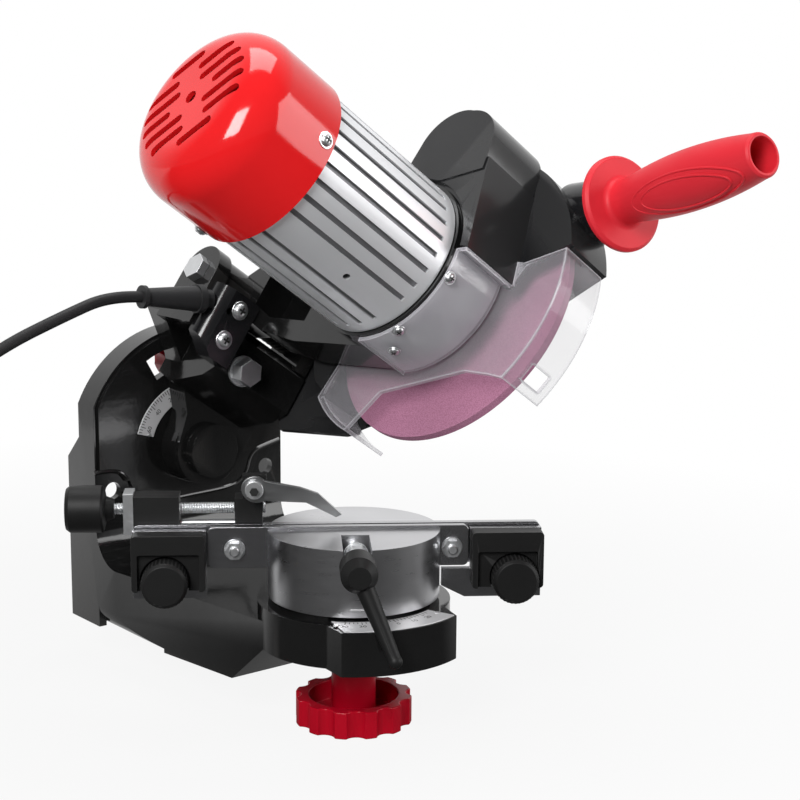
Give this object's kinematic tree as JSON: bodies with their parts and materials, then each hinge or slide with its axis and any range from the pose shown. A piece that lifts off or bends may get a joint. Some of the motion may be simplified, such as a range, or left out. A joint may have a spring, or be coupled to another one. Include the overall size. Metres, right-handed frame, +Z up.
{
  "type": "electric chainsaw sharpener",
  "caption": "Bench grinder for saw chains: turning vise with chain rails on a cast base, tilting head with sprung arm, disc, guard, motor and grip.",
  "frame": {"origin": "midway between the two mounting holes, on the front face of the back plate", "axes": "+X to the operator's right, -Y towards the operator, +Z up"},
  "size_m": [0.5115, 0.3691, 0.3452],
  "materials": {
    "black_enamel": "gloss black enamel on cast metal",
    "black_housing": "gloss black moulding",
    "black_plastic": "satin black moulding",
    "satin_aluminium": "satin machined",
    "zinc_steel": "zinc plated",
    "polished_steel": "bright drawn",
    "red_gloss": "gloss red",
    "coral_grip": "matt coral red",
    "crimson_knob": "semi-gloss crimson",
    "abrasive": "fine-grained mauve abrasive",
    "clear_cover": "clear moulded plastic",
    "scale_plate": "anodised plate with printed ticks",
    "lamination": "bare steel laminations",
    "lead_rubber": "soft black sheath",
    "plug_brass": "nickel-brass pins"
  },
  "bodies": {
    "base": {"base_casting": "black_enamel", "tilt_scale": "scale_plate", "vise_scale": "scale_plate", "tilt_pivot": "zinc_steel"},
    "vise": {"turntable": "satin_aluminium", "front_rail": "polished_steel", "rear_rail": "polished_steel", "rail_screw_left": "zinc_steel", "rail_screw_right": "zinc_steel", "bracket_left": "satin_aluminium", "bracket_right": "satin_aluminium", "guide_block_left": "black_plastic", "guide_block_right": "black_plastic", "turntable_bolt": "zinc_steel", "clamp_stud": "zinc_steel", "stop_bearing": "black_plastic", "stop_plate": "zinc_steel"},
    "lock_knob": {"lock_knob": "crimson_knob"},
    "guide_knob_left": {"guide_knob_left": "black_plastic"},
    "guide_knob_right": {"guide_knob_right": "black_plastic"},
    "clamp_lever": {"clamp_lever": "black_plastic"},
    "stop_screw": {"stop_screw": "zinc_steel", "stop_knob": "black_plastic"},
    "stop_carriage": {"stop_carriage": "black_plastic", "stop_guide_rod": "zinc_steel", "pawl_screw": "zinc_steel"},
    "stop_pawl": {"stop_pawl": "polished_steel"},
    "head": {"tilt_bracket": "black_enamel", "hinge_bolt": "zinc_steel", "return_spring": "lamination", "cable_cover": "black_housing", "cover_screw_upper": "zinc_steel", "cover_screw_lower": "zinc_steel", "tilt_stud": "zinc_steel", "strain_relief": "lead_rubber", "mains_lead": "lead_rubber", "lead_coil": "lead_rubber", "mains_plug": "lead_rubber", "plug_pins": "plug_brass"},
    "depth_screw": {"depth_screw": "zinc_steel"},
    "tilt_knob": {"tilt_knob": "crimson_knob"},
    "arm": {"arm_casting": "black_enamel", "front_bearing": "polished_steel", "rear_shield": "satin_aluminium", "rear_bearing": "polished_steel", "motor_can": "satin_aluminium", "motor_cap": "red_gloss", "stator": "lamination", "wheel_housing": "black_housing", "clear_guard": "clear_cover", "switch_bezel": "black_plastic", "handle": "coral_grip"},
    "spindle": {"spindle_shaft": "polished_steel", "rotor": "lamination", "cooling_fan": "black_plastic", "grinding_disc": "abrasive", "inner_flange": "satin_aluminium", "outer_flange": "satin_aluminium", "disc_nut": "zinc_steel"},
    "switch": {"switch_rocker": "crimson_knob"}
  },
  "joints": [
    {"name": "vise_swivel", "type": "hinge", "parent": "base", "child": "vise", "pos_m": [0, -0.1525, -0.0306], "axis": [0, 0, 1], "range_deg": [0, 60]},
    {"name": "lock_knob_turn", "type": "hinge", "parent": "vise", "child": "lock_knob", "pos_m": [0, -0.1525, -0.0845], "axis": [0, 0, 1], "range_deg": [-180, 180]},
    {"name": "guide_knob_left_turn", "type": "hinge", "parent": "vise", "child": "guide_knob_left", "pos_m": [-0.08481, -0.10886, -0.021], "axis": [-0.5736, -0.8192, 0], "range_deg": [-180, 180]},
    {"name": "guide_knob_right_turn", "type": "hinge", "parent": "vise", "child": "guide_knob_right", "pos_m": [0.05854, -0.20924, -0.021], "axis": [-0.5736, -0.8192, 0], "range_deg": [-180, 180]},
    {"name": "clamp_lever_turn", "type": "hinge", "parent": "vise", "child": "clamp_lever", "pos_m": [-0.03097, -0.19673, -0.004], "axis": [-0.5736, -0.8192, 0], "range_deg": [-70, 50]},
    {"name": "stop_screw_turn", "type": "hinge", "parent": "vise", "child": "stop_screw", "pos_m": [-0.09846, -0.06647, 0.0105], "axis": [0.8192, -0.5736, 0], "range_deg": [-2300, 580]},
    {"name": "stop_slide", "type": "slide", "parent": "vise", "child": "stop_carriage", "axis": [0.8192, -0.5736, 0], "range_m": [-0.008, 0.002]},
    {"name": "pawl_lift", "type": "hinge", "parent": "stop_carriage", "child": "stop_pawl", "pos_m": [-0.03952, -0.12177, 0.023], "axis": [-0.5736, -0.8192, 0], "range_deg": [0, 25]},
    {"name": "head_tilt", "type": "hinge", "parent": "base", "child": "head", "pos_m": [0, -0.012, 0.02], "axis": [0, -1, 0], "range_deg": [0, 35]},
    {"name": "depth_screw_turn", "type": "hinge", "parent": "head", "child": "depth_screw", "pos_m": [-0.00021, -0.054, 0.06922], "axis": [0, -1, 0], "range_deg": [-180, 180]},
    {"name": "tilt_knob_turn", "type": "hinge", "parent": "head", "child": "tilt_knob", "pos_m": [0.01346, 0.02, 0.07023], "axis": [0, 1, 0], "range_deg": [-180, 180]},
    {"name": "arm_swing", "type": "hinge", "parent": "head", "child": "arm", "pos_m": [0.01902, -0.036, 0.09946], "axis": [0.8192, 0, -0.5736], "range_deg": [0, 15], "stiffness_Nm_per_rad": 9, "springref_deg": -51.57},
    {"name": "spindle_spin", "type": "hinge", "parent": "arm", "child": "spindle", "pos_m": [0.06137, -0.158, 0.10765], "axis": [0.8192, 0, -0.5736], "continuous": true},
    {"name": "switch_rock", "type": "hinge", "parent": "arm", "child": "switch", "pos_m": [0.10824, -0.165, 0.1493], "axis": [0.5736, 0, 0.8192], "range_deg": [0, 12]}
  ],
  "couplings": [
    {"joint": "stop_screw_turn", "follows": "stop_slide", "rad_per_m": 5000}
  ]
}
